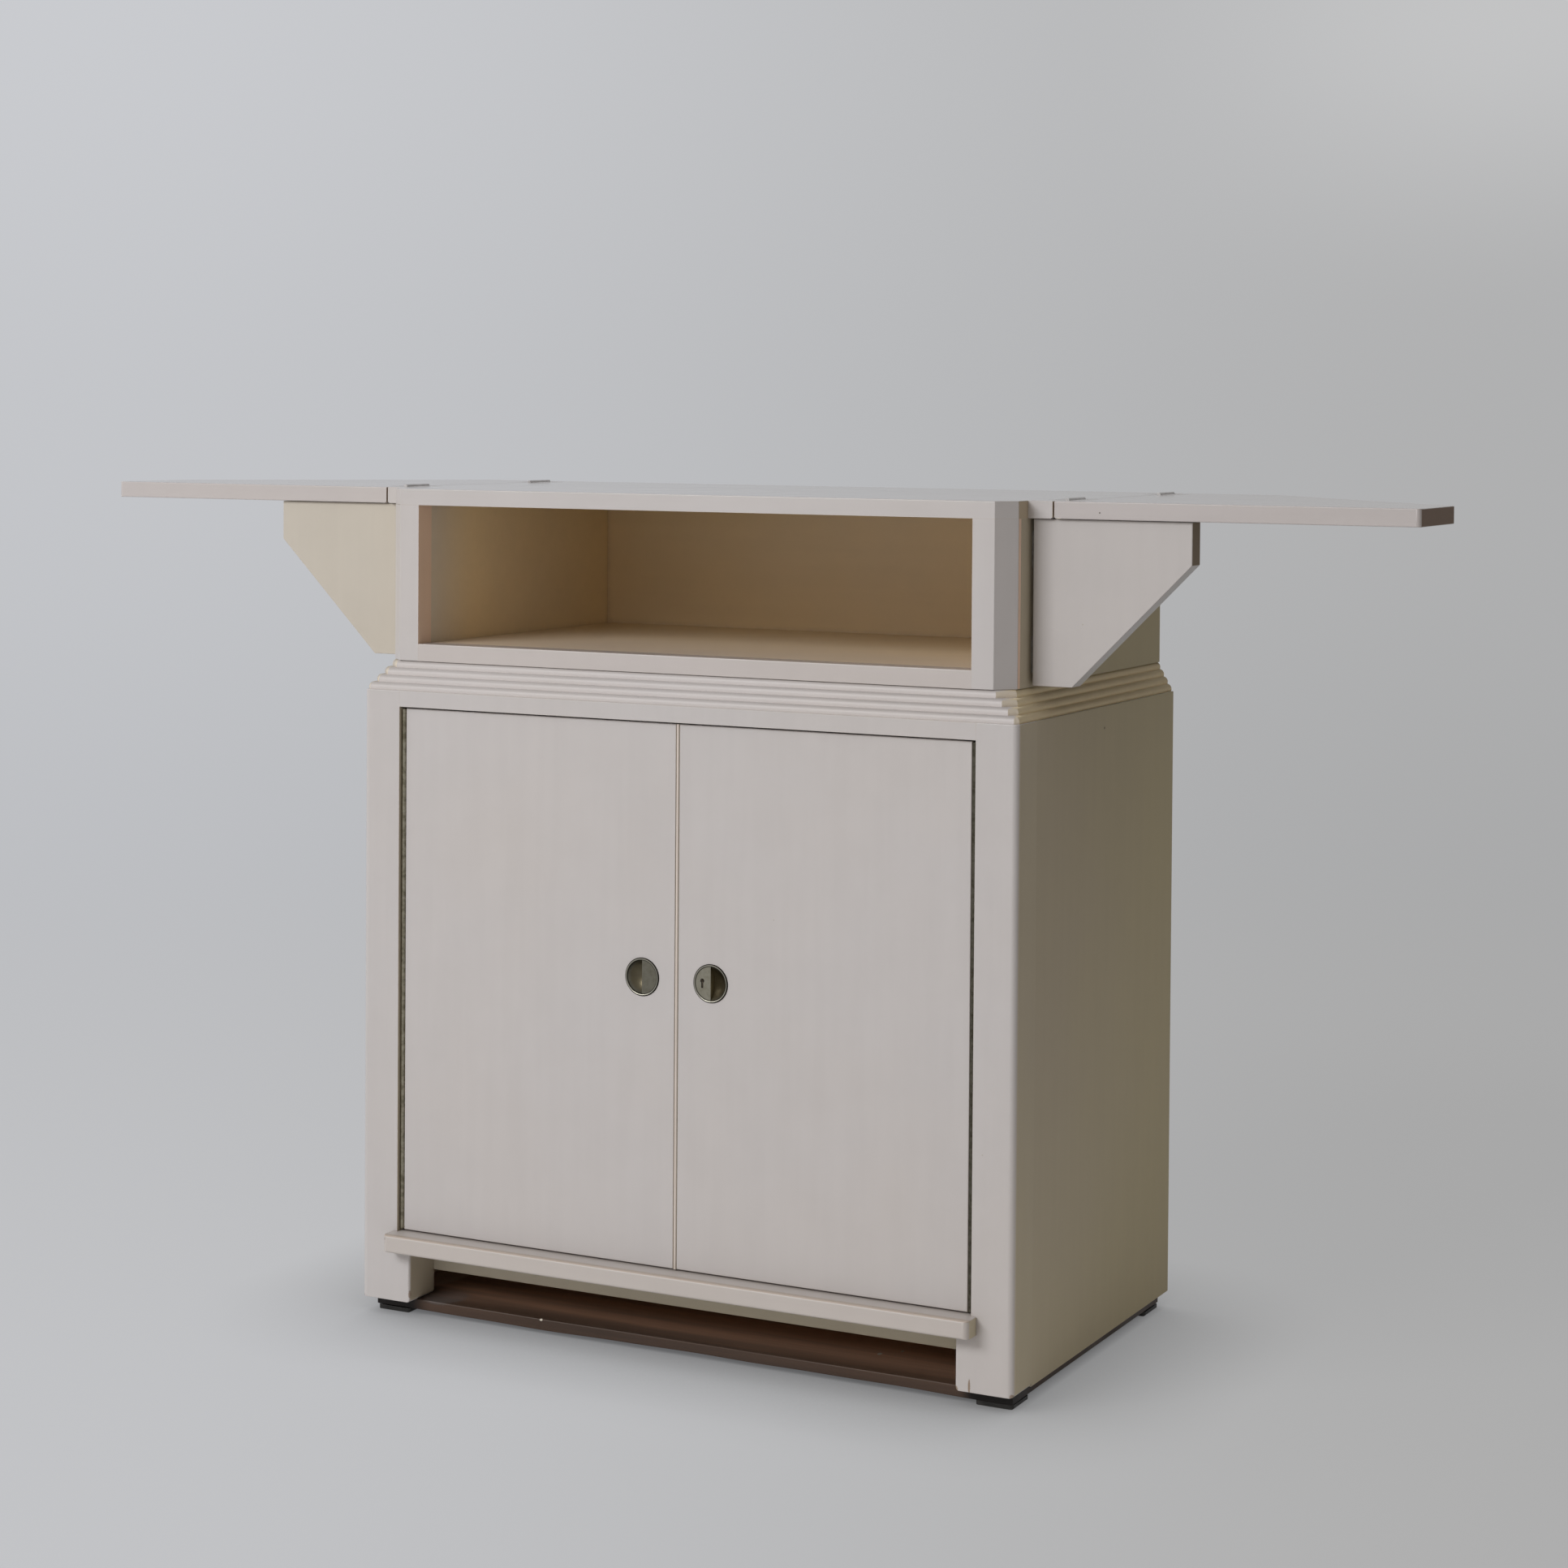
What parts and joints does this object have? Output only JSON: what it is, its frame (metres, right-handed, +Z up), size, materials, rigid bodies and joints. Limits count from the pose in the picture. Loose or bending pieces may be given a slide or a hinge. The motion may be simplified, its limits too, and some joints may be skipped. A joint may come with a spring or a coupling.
{
  "type": "buffet cabinet",
  "caption": "Painted buffet cabinet with a two-door cupboard, a reeded moulding, an open serving niche and hinged side leaves on swinging brackets.",
  "frame": {"origin": "on the floor, in the middle of the width over the open leaves and of the depth over ledge and case", "axes": "+X to the right seen from the front, +Y to the back, +Z up"},
  "size_m": [1.6936, 0.505, 0.9944],
  "materials": {
    "paint": "aged off-white satin paint on wood",
    "paint_inside": "warm cream paint on wood, matt",
    "stain": "dark brown stain, dull, worn front edge",
    "pads": "black hard rubber",
    "brass": "aged nickel over brass, dull",
    "steel": "dull grey steel"
  },
  "bodies": {
    "root": {"post_left": "paint", "post_right": "paint", "side_left": "paint", "side_right": "paint", "ledge": "paint", "door_rail": "paint", "moulding_front": "paint", "moulding_left": "paint", "moulding_right": "paint", "stile_left": "paint", "stile_right": "paint", "upper_side_left": "paint", "upper_side_right": "paint", "niche_sill": "paint", "top_board": "paint", "leaf_strip_left": "paint", "leaf_strip_right": "paint", "toe_rail": "paint", "cupboard_back": "paint_inside", "cupboard_floor": "paint_inside", "deck": "paint_inside", "shelf": "paint_inside", "shelf_cleats": "paint_inside", "moulding_back": "paint_inside", "niche_floor": "paint_inside", "niche_lining_left": "paint_inside", "niche_lining_right": "paint_inside", "niche_back": "paint_inside", "bottom_board": "stain", "feet": "pads", "leaf_hinge_fixed": "brass", "leaf_hinge_pins": "brass", "bracket_hinge_fixed": "brass", "bracket_hinge_pins": "brass", "door_hinge_fixed": "brass", "door_hinge_pins": "brass"},
    "door_left": {"door_left": "paint", "door_hinge_left": "brass", "pull_left": "brass", "lock_keeper": "steel", "bolt_guides": "steel"},
    "door_right": {"door_right": "paint", "meeting_bead": "paint", "door_hinge_right": "brass", "pull_right": "brass", "lock_case": "steel"},
    "leaf_left": {"leaf_left": "paint", "leaf_hinge_left": "brass"},
    "leaf_right": {"leaf_right": "paint", "leaf_hinge_right": "brass"},
    "bracket_left": {"bracket_left": "paint", "bracket_hinge_left": "brass"},
    "bracket_right": {"bracket_right": "paint", "bracket_hinge_right": "brass"},
    "lock_bolt": {"lock_bolt": "brass"},
    "bolt_top": {"bolt_top": "brass"},
    "bolt_bottom": {"bolt_bottom": "brass"}
  },
  "joints": [
    {"name": "door_left", "type": "hinge", "parent": "root", "child": "door_left", "pos_m": [-0.37125, -0.223, 0.4179], "axis": [0, 0, -1], "range_deg": [0, 95]},
    {"name": "door_right", "type": "hinge", "parent": "root", "child": "door_right", "pos_m": [0.37125, -0.223, 0.4179], "axis": [0, 0, 1], "range_deg": [0, 95]},
    {"name": "leaf_left", "type": "hinge", "parent": "root", "child": "leaf_left", "pos_m": [-0.4368, 0, 0.99225], "axis": [0, 1, 0], "range_deg": [0, 180]},
    {"name": "leaf_right", "type": "hinge", "parent": "root", "child": "leaf_right", "pos_m": [0.4368, 0, 0.99225], "axis": [0, -1, 0], "range_deg": [0, 180]},
    {"name": "bracket_left", "type": "hinge", "parent": "root", "child": "bracket_left", "pos_m": [-0.409, -0.1328, 0.88], "axis": [0, 0, -1], "range_deg": [0, 90]},
    {"name": "bracket_right", "type": "hinge", "parent": "root", "child": "bracket_right", "pos_m": [0.409, -0.1328, 0.88], "axis": [0, 0, 1], "range_deg": [0, 90]},
    {"name": "lock_bolt", "type": "slide", "parent": "door_right", "child": "lock_bolt", "axis": [-1, 0, 0], "range_m": [0, 0.014]},
    {"name": "bolt_top", "type": "slide", "parent": "door_left", "child": "bolt_top", "axis": [0, 0, 1], "range_m": [0, 0.012]},
    {"name": "bolt_bottom", "type": "slide", "parent": "door_left", "child": "bolt_bottom", "axis": [0, 0, -1], "range_m": [0, 0.012]}
  ]
}
